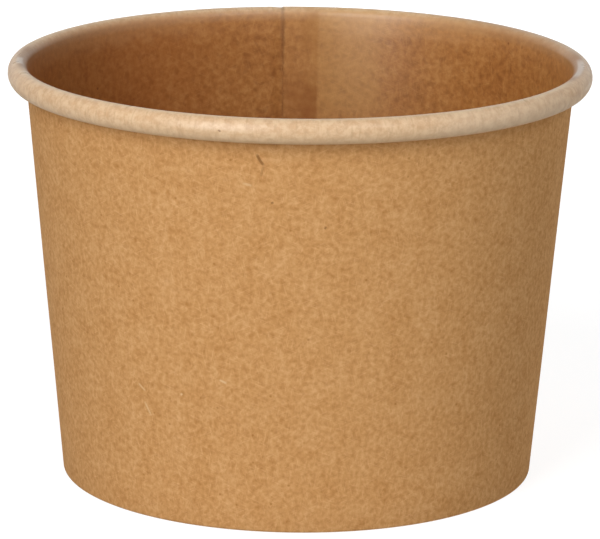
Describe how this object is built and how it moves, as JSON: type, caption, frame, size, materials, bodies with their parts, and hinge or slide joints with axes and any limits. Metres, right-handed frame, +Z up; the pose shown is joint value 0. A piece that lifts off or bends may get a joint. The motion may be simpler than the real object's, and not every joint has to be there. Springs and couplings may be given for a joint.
{
  "type": "paper soup cup",
  "caption": "Kraft paper soup cup: a tapered round wall with a lap seam, a rolled rim that takes a lid, and a bottom disc set above the floor in a hemmed base.",
  "frame": {"origin": "centre of the base, on the floor", "axes": "+Z up along the cup's axis, +Y towards the lap seam, which is at the back in the picture"},
  "size_m": [0.098, 0.098, 0.0706],
  "materials": {
    "kraft_wall": "matt brown kraft board outside, with a thin satin coating inside and over the rolled rim",
    "kraft_bottom": "brown kraft board with a thin satin coating on its upper face"
  },
  "bodies": {
    "root": {"sidewall": "kraft_wall", "bottom_disc": "kraft_bottom"}
  },
  "joints": []
}
